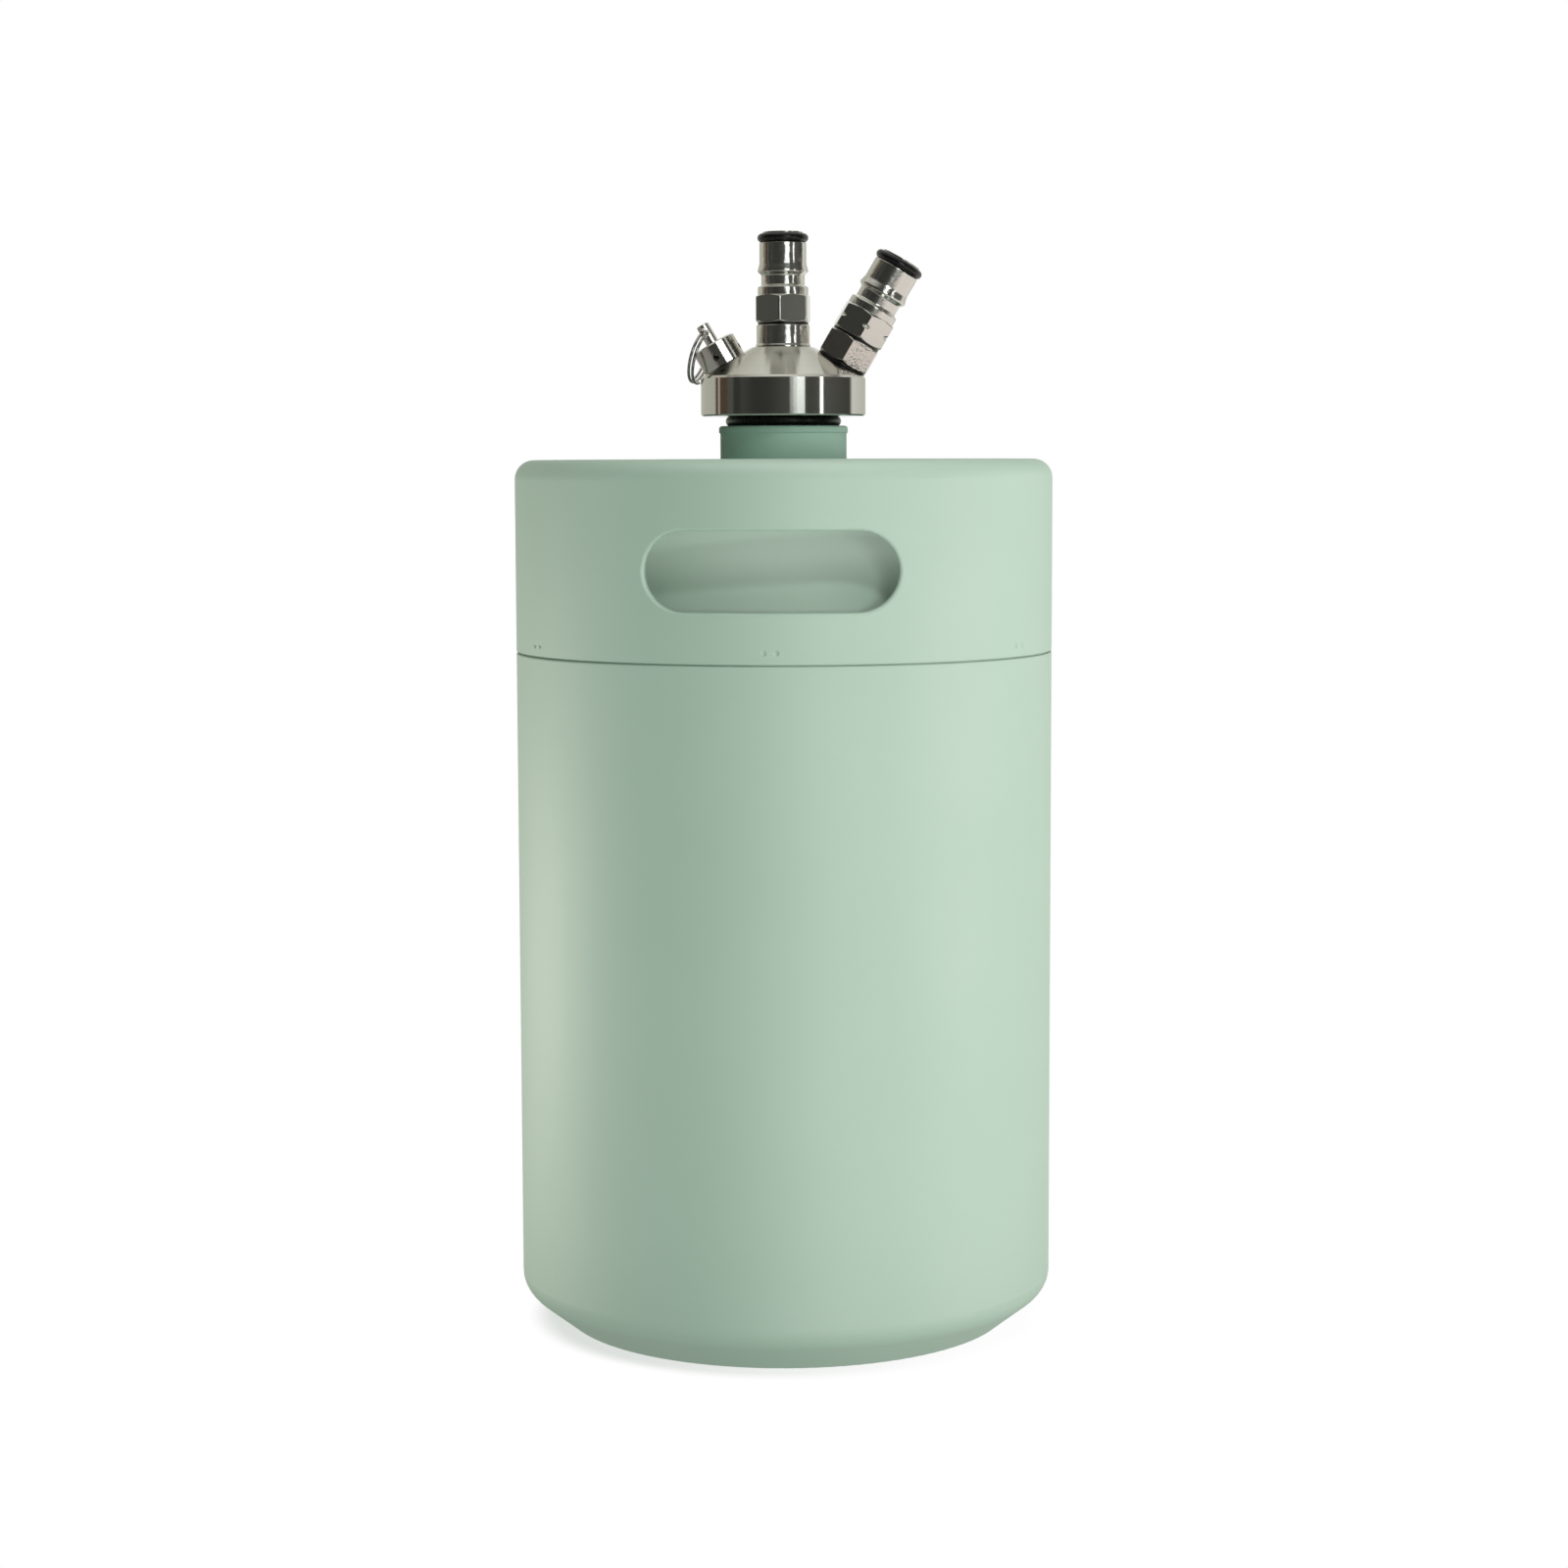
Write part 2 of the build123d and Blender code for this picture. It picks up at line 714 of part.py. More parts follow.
def make_relief_valve_seat():
    return tube(relief_chamber_radius - fit_gap, relief_orifice_radius, relief_plug_bottom, relief_seat_level)


def make_relief_valve_seal():
    return tube(relief_seal_radius, relief_pin_radius + fit_gap, relief_seat_level, relief_plate_level)


def make_relief_valve_stem():
    stem = turned_points(
        (0, relief_seat_level),
        (relief_pin_radius, relief_seat_level),
        (relief_pin_radius, relief_plate_level),
        (relief_plate_radius, relief_plate_level),
        (relief_plate_radius, relief_spring_low),
        (stem_radius, relief_spring_low),
        (stem_radius, stem_top - stem_edge_chamfer),
        (stem_radius - stem_edge_chamfer, stem_top),
        (0, stem_top),
    )
    drill = Rot(90, 0, 0) * rod(stem_hole_radius, -stem_radius - cut_overrun, stem_radius + cut_overrun)
    return stem - Pos(0, 0, stem_hole_level) * Rot(0, 0, stem_turn) * drill


def make_relief_valve_spring():
    return coil(relief_spring_radius, relief_spring_wire, relief_spring_low, relief_roof, relief_spring_turns)


def make_pull_ring():
    """Split ring of two turns that hangs from the stem's hole, leaning outwards."""
    hole = relief_place * Pos(0, 0, stem_hole_level)
    pin_line = (hole * Rot(0, 0, stem_turn) * Pos(0, 1, 0)).position - hole.position
    down = Vector(0, 0, -1)
    plumb = (down - pin_line * down.dot(pin_line)).normalized()
    hang = plumb.rotate(Axis((0, 0, 0), pin_line), ring_lean)
    centre = hole.position + hang * ring_mean_radius
    print("pull ring hinge at", hole.position, "along", pin_line, "centre", centre)
    report_gap("pull ring", ring_mean_radius, ring_pitch, ring_turns, ring_wire)
    wound = helical_bar(ring_mean_radius, ring_pitch, ring_turns, -ring_pitch * ring_turns / 2, Circle(ring_wire / 2))
    return Plane(centre, x_dir=hang, z_dir=pin_line.cross(hang)) * wound


liquid_place = Pos(0, 0, liquid_post_height)
gas_post_place = gas_place * Pos(0, 0, gas_post_level)

nodes = {
    "outer_shell": make_outer_shell(),
    "handle_ring": make_handle_ring(),
    "inner_vessel": make_inner_vessel(),
    "base_dish": make_base_dish(),
    "vacuum_seal_disc": make_vacuum_seal_disc(),
    "neck_tube": make_neck_tube(),
    "cap_body": make_cap_body(),
    "cap_seal_ring": make_cap_seal_ring(),
    "liquid_post_adapter": make_liquid_post_adapter(),
    "dip_tube": make_dip_tube(),
    "dip_tube_o_ring": make_dip_tube_o_ring(),
    "gas_adapter": gas_place * make_gas_adapter(),
    "gas_adapter_o_ring": gas_place * make_gas_adapter_o_ring(),
    "relief_valve_body": relief_place * make_relief_valve_body(),
    "relief_valve_gasket": relief_place * make_relief_valve_gasket(),
    "relief_valve_seat": relief_place * make_relief_valve_seat(),
    "relief_valve_seal": relief_place * make_relief_valve_seal(),
    "relief_valve_stem": relief_place * make_relief_valve_stem(),
    "relief_valve_spring": relief_place * make_relief_valve_spring(),
    "pull_ring": make_pull_ring(),
}
for side, place, turn, notched in (
    ("liquid", liquid_place, liquid_hex_turn, False),
    ("gas", gas_post_place, gas_hex_turn, True),
):
    nodes[f"{side}_post"] = place * make_post(turn, notched)
    nodes[f"{side}_post_o_ring"] = place * make_post_o_ring()
    nodes[f"{side}_post_washer"] = place * make_post_washer()
    nodes[f"{side}_poppet"] = place * make_poppet()
    nodes[f"{side}_poppet_seal"] = place * make_poppet_seal()
    nodes[f"{side}_poppet_retainer"] = place * make_poppet_retainer()
    nodes[f"{side}_poppet_spring"] = place * make_poppet_spring()

for name, shape in nodes.items():
    export_step(shape, f"parts/{name}.step")
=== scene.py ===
"""Looks of the insulated mini keg: paint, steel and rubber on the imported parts, in a white studio.

Metres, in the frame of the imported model: the origin is the middle of the foot, +Z is up, -Y is the front.
"""

from functools import cache
from math import cos, pi, radians, sin

import bpy
from mathutils import Matrix, Vector, noise


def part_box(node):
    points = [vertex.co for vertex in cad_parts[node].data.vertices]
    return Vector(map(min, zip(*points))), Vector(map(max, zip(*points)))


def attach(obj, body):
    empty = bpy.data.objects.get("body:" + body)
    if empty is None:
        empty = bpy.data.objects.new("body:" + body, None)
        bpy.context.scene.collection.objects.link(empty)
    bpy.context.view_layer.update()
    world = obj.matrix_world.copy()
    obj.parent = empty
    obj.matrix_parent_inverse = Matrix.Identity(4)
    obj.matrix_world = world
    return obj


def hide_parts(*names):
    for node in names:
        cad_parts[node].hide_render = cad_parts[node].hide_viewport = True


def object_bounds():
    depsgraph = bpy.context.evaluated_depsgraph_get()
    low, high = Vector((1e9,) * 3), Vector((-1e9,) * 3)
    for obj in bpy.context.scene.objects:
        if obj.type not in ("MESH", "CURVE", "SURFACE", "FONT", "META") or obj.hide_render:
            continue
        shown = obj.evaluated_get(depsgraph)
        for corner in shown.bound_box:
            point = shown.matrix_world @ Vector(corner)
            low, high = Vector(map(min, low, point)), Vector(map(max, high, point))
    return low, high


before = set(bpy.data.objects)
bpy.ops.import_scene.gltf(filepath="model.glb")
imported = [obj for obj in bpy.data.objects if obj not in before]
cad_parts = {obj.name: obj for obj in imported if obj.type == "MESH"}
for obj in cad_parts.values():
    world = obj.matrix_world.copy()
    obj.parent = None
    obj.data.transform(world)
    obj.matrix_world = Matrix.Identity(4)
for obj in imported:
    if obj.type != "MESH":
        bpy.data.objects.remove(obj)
cad_low, cad_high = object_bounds()

MM = 0.001

# Camera, fitted to the photograph's outlines
PHOTO_SIDE = 1600
FOCAL_PIXELS = 3268.6
SENSOR_WIDTH_MM = 36.0
CAMERA_DISTANCE = 1098.6 * MM
CAMERA_HEIGHT = 293.0 * MM
CAMERA_AZIMUTH = 2.8
CAMERA_PITCH = 5.645
CAMERA_ROLL = -0.18
CAMERA_SHIFT_PIXELS = -0.57

# Ports on the cap's cone
PORT_REACH = 20.0 * MM
PORT_DROP = 5.263 * MM
PORT_LEAN = 30.32
PORT_SEAT_DEPTH = 1.1 * MM
SPIGOT_LENGTH = 9.0 * MM
cone_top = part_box("liquid_post_adapter")[0].z + SPIGOT_LENGTH
liquid_post_low, liquid_post_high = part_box("liquid_post")

# Ball-lock post, from the bottom of its hex upwards
HEX_WIDTH = 17.46 * MM
HEX_HEIGHT = 9.3 * MM
LIQUID_HEX_TURN = -4.0
GAS_HEX_TURN = 7.3
GAS_ADAPTER_TURN = -0.4
GAS_POST_LEVEL = 11.0 * MM


# Node trees
def add_node(tree, kind, inputs=(), **settings):
    """New node with its settings and its plain input values."""
    node = tree.nodes.new(kind)
    for key, value in settings.items():
        setattr(node, key, value)
    for key, value in dict(inputs).items():
        node.inputs[key].default_value = value
    return node


def new_material(name):
    """Material whose Principled shader is returned with its tree."""
    material = bpy.data.materials.new(name)
    material.use_nodes = True
    tree = material.node_tree
    return material, tree, tree.nodes["Principled BSDF"]


def set_inputs(shader, **values):
    """Set plain values on a shader's own sockets, named with underscores for spaces."""
    for key, value in values.items():
        shader.inputs[key.replace("_", " ")].default_value = value


def coordinates(tree, kind):
    """Place in the given kind of coordinates, and its parts."""
    place = add_node(tree, "ShaderNodeTexCoord").outputs[kind]
    parts = add_node(tree, "ShaderNodeSeparateXYZ")
    tree.links.new(place, parts.inputs["Vector"])
    return place, parts.outputs


def speckle(tree, feature, detail=2.0, roughness=0.5):
    """Noise over the surface with features of the given size in metres."""
    place = add_node(tree, "ShaderNodeTexCoord")
    texture = add_node(
        tree, "ShaderNodeTexNoise", {"Scale": 1 / feature, "Detail": detail, "Roughness": roughness}
    )
    tree.links.new(place.outputs["Object"], texture.inputs["Vector"])
    return texture.outputs["Fac"]


def ramp(tree, factor, stops):
    """Colour ramp through (position, colour) stops."""
    node = add_node(tree, "ShaderNodeValToRGB")
    elements = node.color_ramp.elements
    while len(elements) < len(stops):
        elements.new(0.5)
    for element, (position, colour) in zip(elements, stops):
        element.position = position
        element.color = (*colour, 1.0)
    tree.links.new(factor, node.inputs["Fac"])
    return node.outputs["Color"]


def two_tones(tree, factor, low, high):
    """Colour that runs from low to high over the middle of a noise."""
    return ramp(tree, factor, [(0.3, low), (0.7, high)])


def spread(tree, factor, low, high):
    """Number that runs from low to high as the factor runs from 0 to 1."""
    node = add_node(tree, "ShaderNodeMapRange", {"To Min": low, "To Max": high})
    tree.links.new(factor, node.inputs["Value"])
    return node.outputs["Result"]


def ease(tree, value, start, end, low, high):
    """Number that eases from low to high as the value runs from start to end."""
    node = add_node(
        tree,
        "ShaderNodeMapRange",
        {"From Min": start, "From Max": end, "To Min": low, "To Max": high},
        interpolation_type="SMOOTHSTEP",
    )
    tree.links.new(value, node.inputs["Value"])
    return node.outputs["Result"]


def combine(tree, operation, first, second):
    """Two numbers put together by a mathematical operation."""
    node = add_node(tree, "ShaderNodeMath", operation=operation)
    tree.links.new(first, node.inputs[0])
    tree.links.new(second, node.inputs[1])
    return node.outputs["Value"]


def blend_shaders(tree, factor, first, second):
    """Mix of two shaders."""
    node = add_node(tree, "ShaderNodeMixShader")
    tree.links.new(factor, node.inputs["Fac"])
    tree.links.new(first, node.inputs[1])
    tree.links.new(second, node.inputs[2])
    return node.outputs["Shader"]


def bump(tree, shader, height, depth, strength=1.0):
    """Relief of the given depth in metres on the shader's normal, over any relief that is there already."""
    node = add_node(tree, "ShaderNodeBump", {"Strength": strength, "Distance": depth})
    tree.links.new(height, node.inputs["Height"])
    for earlier in shader.inputs["Normal"].links:
        tree.links.new(earlier.from_socket, node.inputs["Normal"])
    tree.links.new(node.outputs["Normal"], shader.inputs["Normal"])
    return node


def add_grain(tree, shader, grain, roughness, depth, strength):
    """Roughness and relief that follow one noise."""
    tree.links.new(spread(tree, grain, *roughness), shader.inputs["Roughness"])
    bump(tree, shader, grain, depth, strength)


# Powder coat
SAGE_LOW = (0.344, 0.482, 0.377)
SAGE_HIGH = (0.362, 0.498, 0.392)
SAGE_IOR = 1.6
SAGE_DRIFT = 60 * MM
SAGE_GRAIN = 0.6 * MM
SAGE_ROUGHNESS = (0.56, 0.66)
SAGE_PEEL = 0.03 * MM


def tinted(colour, tone):
    """A colour multiplied by a tone."""
    return tuple(channel * share for channel, share in zip(colour, tone))


def make_sage_paint(name, tone, gloss):
    """Matte powder coat: fine orange peel and a faint drift of tone."""
    material, tree, shader = new_material(name)
    set_inputs(shader, IOR=SAGE_IOR, Specular_IOR_Level=gloss)
    drift = speckle(tree, SAGE_DRIFT, 3.0)
    colour = two_tones(tree, drift, tinted(SAGE_LOW, tone), tinted(SAGE_HIGH, tone))
    tree.links.new(colour, shader.inputs["Base Color"])
    add_grain(tree, shader, speckle(tree, SAGE_GRAIN), SAGE_ROUGHNESS, SAGE_PEEL, 0.5)
    return material


# Steel
UPRIGHT = ((0, 0, 0), (0, 0, 1))
MARK_SHADE = 0.95
MARK_ROUGHNESS = (0.7, 1.3)
DENT_SIZE = 2.2 * MM
DENT_FADE = 0.3 * MM
FORGED_LOW = (0.58, 0.55, 0.51)
FORGED_HIGH = (0.68, 0.65, 0.61)
FORGED_GRAIN = 0.7 * MM
FORGED_ROUGHNESS = (0.14, 0.26)
FORGED_RELIEF = 0.02 * MM


def turning_marks(tree, shader, groove, origin, axis):
    """Fine noise along a turned surface, and the shader's tangent, which runs round the axis."""
    place = add_node(tree, "ShaderNodeTexCoord")
    offset = add_node(tree, "ShaderNodeVectorMath", {1: origin}, operation="SUBTRACT")
    tree.links.new(place.outputs["Object"], offset.inputs[0])
    around = add_node(tree, "ShaderNodeVectorMath", {0: axis}, operation="CROSS_PRODUCT")
    tree.links.new(offset.outputs["Vector"], around.inputs[1])
    placed = add_node(
        tree, "ShaderNodeVectorTransform", vector_type="VECTOR", convert_from="OBJECT", convert_to="WORLD"
    )
    tree.links.new(around.outputs["Vector"], placed.inputs["Vector"])
    tree.links.new(placed.outputs["Vector"], shader.inputs["Tangent"])
    radius = add_node(tree, "ShaderNodeVectorMath", operation="LENGTH")
    tree.links.new(around.outputs["Vector"], radius.inputs[0])
    height = add_node(tree, "ShaderNodeVectorMath", {1: axis}, operation="DOT_PRODUCT")
    tree.links.new(offset.outputs["Vector"], height.inputs[0])
    along = combine(tree, "ADD", radius.outputs["Value"], height.outputs["Value"])
    marks = add_node(
        tree,
        "ShaderNodeTexNoise",
        {"Scale": 1 / groove, "Detail": 4.0, "Roughness": 0.65},
        noise_dimensions="1D",
    )
    tree.links.new(along, marks.inputs["W"])
    return marks.outputs["Fac"]


def make_steel(name, colour, roughness, anisotropy, groove, depth, dents=0.0, smooth_below=None, line=UPRIGHT):
    """Steel with the fine marks that turning leaves round a line, and shallow dents above a height."""
    material, tree, shader = new_material(name)
    set_inputs(shader, Metallic=1.0, Anisotropic=anisotropy, Anisotropic_Rotation=0.25)
    marks = turning_marks(tree, shader, groove, *line)
    dark = tuple(channel * MARK_SHADE for channel in colour)
    tree.links.new(two_tones(tree, marks, dark, colour), shader.inputs["Base Color"])
    low, high = (roughness * share for share in MARK_ROUGHNESS)
    add_grain(tree, shader, marks, (low, high), depth, 1.0)
    if dents:
        dented = bump(tree, shader, speckle(tree, DENT_SIZE), dents)
        if smooth_below is not None:
            _, parts = coordinates(tree, "Object")
            share = ease(tree, parts["Z"], smooth_below, smooth_below + DENT_FADE, 0.0, 1.0)
            tree.links.new(share, dented.inputs["Strength"])
    return material


def make_rough_steel():
    """Forged steel: satin, with a fine grain."""
    material, tree, shader = new_material("rough_steel_look")
    set_inputs(shader, Metallic=1.0)
    lumps = speckle(tree, FORGED_GRAIN, 3.0, 0.55)
    tree.links.new(two_tones(tree, lumps, FORGED_LOW, FORGED_HIGH), shader.inputs["Base Color"])
    add_grain(tree, shader, lumps, FORGED_ROUGHNESS, FORGED_RELIEF, 0.6)
    return material


# Rubber
RUBBER_LOW = (0.004, 0.004, 0.004)
RUBBER_HIGH = (0.008, 0.008, 0.008)
RUBBER_IOR = 1.45
RUBBER_GRAIN = 0.5 * MM
RUBBER_ROUGHNESS = (0.22, 0.34)
RUBBER_RELIEF = 0.02 * MM


def make_black_rubber():
    """Moulded black rubber, slightly glossy, with a fine skin."""
    material, tree, shader = new_material("black_rubber_look")
    set_inputs(shader, IOR=RUBBER_IOR)
    skin = speckle(tree, RUBBER_GRAIN, 3.0)
    tree.links.new(two_tones(tree, skin, RUBBER_LOW, RUBBER_HIGH), shader.inputs["Base Color"])
    add_grain(tree, shader, skin, RUBBER_ROUGHNESS, RUBBER_RELIEF, 0.5)
    return material


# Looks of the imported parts
def port_frame(side):
    """Frame of a port on the cone, on its seat. Side 1 is the gas port, -1 the relief valve's."""
    place = Matrix.Translation((side * PORT_REACH, 0, cone_top - PORT_DROP))
    lean = Matrix.Rotation(radians(side * PORT_LEAN), 4, "Y")
    return place @ lean @ Matrix.Translation((0, 0, -PORT_SEAT_DEPTH))


gas_frame = port_frame(1)
relief_frame = port_frame(-1)
relief_line = (tuple(relief_frame.translation), tuple(relief_frame.col[2].xyz))

POLISHED = {"colour": (0.70, 0.695, 0.65), "roughness": 0.18, "anisotropy": 0.75, "dents": 0.09 * MM}
LOOKS = {
    "sage_paint": make_sage_paint("sage_paint_look", tone=(1.0, 1.0, 1.0), gloss=1.0),
    # Painted shade: the neck's paint is darker, greener and less glossy, for the shade under the cap's flange.
    "painted_shade_neck": make_sage_paint("painted_shade_neck_look", tone=(0.85, 1.0, 0.985), gloss=0.4),
    "turned_steel": make_steel(
        "turned_steel_look",
        colour=(0.64, 0.635, 0.59),
        roughness=0.13,
        anisotropy=0.95,
        groove=0.45 * MM,
        depth=0.0020 * MM,
    ),
    "polished_steel": make_steel("polished_steel_look", groove=0.35 * MM, depth=0.0005 * MM, **POLISHED),
    "post_steel": make_steel(
        "post_steel_look", groove=0.12 * MM, depth=0.0003 * MM, smooth_below=HEX_HEIGHT, **POLISHED
    ),
    "spring_steel": make_steel(
        "spring_steel_look",
        colour=(0.46, 0.45, 0.43),
        roughness=0.16,
        anisotropy=0.0,
        groove=0.10 * MM,
        depth=0.0005 * MM,
    ),
    "plain_steel": make_steel(
        "plain_steel_look",
        colour=(0.62, 0.61, 0.58),
        roughness=0.30,
        anisotropy=0.4,
        groove=0.25 * MM,
        depth=0.002 * MM,
    ),
    "relief_steel": make_steel(
        "relief_steel_look",
        colour=(0.66, 0.655, 0.61),
        roughness=0.14,
        anisotropy=0.9,
        groove=0.35 * MM,
        depth=0.001 * MM,
        line=relief_line,
    ),
    "rough_steel": make_rough_steel(),
    "black_rubber": make_black_rubber(),
}
NODE_LOOKS = {
    # The neck gets the sage with painted shade, for the shade under the cap's flange.
    "neck_tube": "painted_shade_neck",
    "relief_valve_body": "relief_steel",
    "relief_valve_stem": "relief_steel",
}


def dress_parts():
    """Every carried-over part gets the look of its own material slot, or the one that its name asks for."""
    for name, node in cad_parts.items():
        for slot in node.material_slots:
            slot.material = LOOKS[NODE_LOOKS.get(name, slot.material.name)]


dress_parts()

# Turned pieces with eased edges
SIDES = 240
CORNER_STEPS = 4
CORNER_SHARE = 0.4
CORNER_MARGIN = 1.2
HEX_SHARPNESS = 110
HEX_INSIDE = 8 * MM
ROW_SPACING = 0.3 * MM
POST_ROUNDING = 0.35 * MM
ADAPTER_ROUNDING = 0.3 * MM

# Hammered faces: ridges in waves round the hexagon, with finer ones on them
HAMMER_DEPTH = 0.22 * MM
HAMMER_RATE = 16.0
FINE_SHARE = 0.6
FINE_RATE = 2.1


def eased(corners, rounding):
    """Closed outline through (radius, height) corners, each rounded as far as its neighbours allow."""
    points = []
    for index, corner in enumerate(corners):
        here = Vector(corner)
        back = Vector(corners[index - 1]) - here
        ahead = Vector(corners[(index + 1) % len(corners)]) - here
        cut = min(rounding, CORNER_SHARE * back.length, CORNER_SHARE * ahead.length)
        start = here + back.normalized() * cut
        end = here + ahead.normalized() * cut
        points.append(here + back.normalized() * cut * CORNER_MARGIN)
        for step in range(CORNER_STEPS + 1):
            share = step / CORNER_STEPS
            points.append(start * (1 - share) ** 2 + here * 2 * share * (1 - share) + end * share**2)
        points.append(here + ahead.normalized() * cut * CORNER_MARGIN)
    return points


def with_more_rows(points, zone):
    """The outline with more rows where it lies between two heights."""
    rows = []
    for here, following in zip(points, points[1:] + points[:1]):
        inside = zone[0] <= min(here.y, following.y) and max(here.y, following.y) <= zone[1]
        steps = max(1, round((following - here).length / ROW_SPACING)) if inside else 1
        rows.extend(here.lerp(following, step / steps) for step in range(steps))
    return rows


@cache
def hex_reach(angle, turn):
    """Distance from the axis to a hexagon with eased corners. One corner is turned from -Y."""
    total = 0.0
    for side in range(6):
        facing = cos(angle - radians(turn - 60 + 60 * side))
        total += max(facing, 0.0) ** HEX_SHARPNESS
    return HEX_WIDTH / 2 / total ** (1 / HEX_SHARPNESS)


def lathe(name, rows, reach=None):
    """Closed turned surface. Reach gives the distance from the axis for (angle, radius, height)."""
    count = len(rows)
    vertices = []
    for radius, height in rows:
        for side in range(SIDES):
            angle = 2 * pi * side / SIDES
            distance = reach(angle, radius, height) if reach else radius
            vertices.append((distance * cos(angle), distance * sin(angle), height))
    faces = []
    for row in range(count):
        low = row * SIDES
        high = (row + 1) % count * SIDES
        for side in range(SIDES):
            beside = (side + 1) % SIDES
            faces.append((low + side, low + beside, high + beside, high + side))
    mesh = bpy.data.meshes.new(name)
    mesh.from_pydata(vertices, [], faces)
    mesh.polygons.foreach_set("use_smooth", [True] * len(faces))
    piece = bpy.data.objects.new(name, mesh)
    bpy.context.scene.collection.objects.link(piece)
    return piece


metal_pieces = []


def mount(piece, place, node, look):
    """The piece stands for a part of the cap, belongs to a slot and has a look."""
    metal_pieces.append(piece)
    piece.matrix_world = place
    piece.data.materials.append(LOOKS[look])
    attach(piece, "cap")
    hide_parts(node)


def in_mm(*corners):
    """Corners written in millimetres, in metres."""
    return [(radius * MM, height * MM) for radius, height in corners]


def make_post(name, node, place, turn, notched):
    """Ball-lock post: hex, collar, groove, lip, barrel, O-ring gland and a hollow core."""
    rim = (liquid_post_high.z - liquid_post_low.z) / MM
    foot = in_mm((6.7, 0), (8.9, 0), (10.05, 0.7))
    notch = in_mm((10.05, 3.8), (9.2, 4.65), (10.05, 5.5)) if notched else []
    top = in_mm(
        (10.05, 8.6),
        (8.75, 9.3),
        (8.6, 9.32),
        (8.6, 11.9),
        (7.4, 12.6),
        (7.4, 15.9),
        (8.6, 17.0),
        (8.6, 17.6),
        (8.0, 19.8),
        (8.0, 26.9),
        (5.65, 26.9),
        (5.65, 30.0),
        (6.8, 30.0),
        (6.8, rim),
        (3.2, rim),
        (3.2, 26.3),
        (5.0, 24.5),
        (5.0, 9.0),
        (6.7, 9.0),
    )
    rows = with_more_rows(eased(foot + notch + top, POST_ROUNDING), (0, HEX_HEIGHT))

    def reach(angle, radius, height):
        if height > HEX_HEIGHT or radius < HEX_INSIDE:
            return radius
        return min(radius, hex_reach(angle, turn))

    mount(lathe(name, rows, reach), place, node, "post_steel")


def make_gas_adapter():
    """Hex adapter under the gas post. Every other face is left hammered."""
    low = 1.4
    high = 10.2
    outline = in_mm(
        (2.9, -9.0),
        (6.9, -9.0),
        (6.9, low),
        (8.9, low),
        (10.05, 2.1),
        (10.05, 9.5),
        (8.9, high),
        (6.6, high),
        (6.6, 20.0),
        (2.9, 20.0),
    )
    zone = (low * MM, high * MM)
    rows = with_more_rows(eased(outline, ADAPTER_ROUNDING), zone)

    def reach(angle, radius, height):
        if not zone[0] <= height <= zone[1] or radius < HEX_INSIDE:
            return radius
        limit = hex_reach(angle, GAS_ADAPTER_TURN)
        if radius < limit:
            return radius
        share = max(0.0, cos(3 * (angle - radians(GAS_ADAPTER_TURN - 60))))
        spot = Vector((cos(angle), sin(angle), height / (HEX_WIDTH / 2))) * HAMMER_RATE
        ridges = abs(noise.noise(spot)) + FINE_SHARE * abs(noise.noise(spot * FINE_RATE))
        return limit - HAMMER_DEPTH * share**0.5 * ridges

    mount(lathe("gas_adapter_forged", rows, reach), gas_frame, "gas_adapter", "rough_steel")


def make_liquid_collar():
    """Round collar under the liquid post, flared at its foot, with its hollow spigots."""
    outline = in_mm(
        (4.0, -9.0),
        (6.9, -9.0),
        (6.9, 0),
        (9.4, 0),
        (9.4, 0.6),
        (9.05, 1.3),
        (9.05, 7.6),
        (6.6, 7.6),
        (6.6, 16.4),
        (4.0, 16.4),
    )
    place = Matrix.Translation((0, 0, cone_top))
    collar = lathe("liquid_collar", eased(outline, POST_ROUNDING))
    mount(collar, place, "liquid_post_adapter", "polished_steel")


liquid_frame = Matrix.Translation((0, 0, liquid_post_low.z))
gas_post_frame = gas_frame @ Matrix.Translation((0, 0, GAS_POST_LEVEL))
make_post("liquid_post_turned", "liquid_post", liquid_frame, LIQUID_HEX_TURN, False)
make_post("gas_post_turned", "gas_post", gas_post_frame, GAS_HEX_TURN, True)
make_gas_adapter()
make_liquid_collar()

# Floor
FLOOR_RADIUS = 1.5
FLOOR_SIDES = 96
FLOOR_DROP = 0.1 * MM
# White floor paint, with a faint green tint that is painted light: the green that the keg throws into its
# shadow.
FLOOR_PAINT_AND_GREEN_BOUNCE = (0.92, 0.95, 0.90)
FOOT_RADIUS = 0.08

# Shadow on the floor: how far out it reaches, and its shares at the left and at the right
CONTACT_RADIUS = 0.091
SHADOW_SHARES = (0.42, 0.04)

# Painted light thrown up by the floor: for all rays except the camera's, the floor glows in place of bounce
# light. Its levels at the foot and in the open, and how far out the open floor starts; the lower level at the
# foot is painted shade.
PAINTED_GLOW_LEVELS = (0.58, 0.95)
BOUNCE_RADIUS = 0.22

# The same towards the left and the right: colour, reach to each side and shares. The first is the painted
# bounce light, the second the painted reflection that glossy rays see; the lower shares on the left are
# painted shade.
PAINTED_FLOOR_BOUNCE = ((0.92, 1.0, 0.95), 0.12, (0.86, 1.05))
PAINTED_FLOOR_REFLECTION = ((1.0, 0.93, 0.90), 0.22, (0.35, 1.0))


def watching_ray(tree, path):
    """1 for camera, glossy and transmission rays, 0 for the rest."""
    mirrored = combine(tree, "MAXIMUM", path.outputs["Is Camera Ray"], path.outputs["Is Glossy Ray"])
    return combine(tree, "MAXIMUM", mirrored, path.outputs["Is Transmission Ray"])


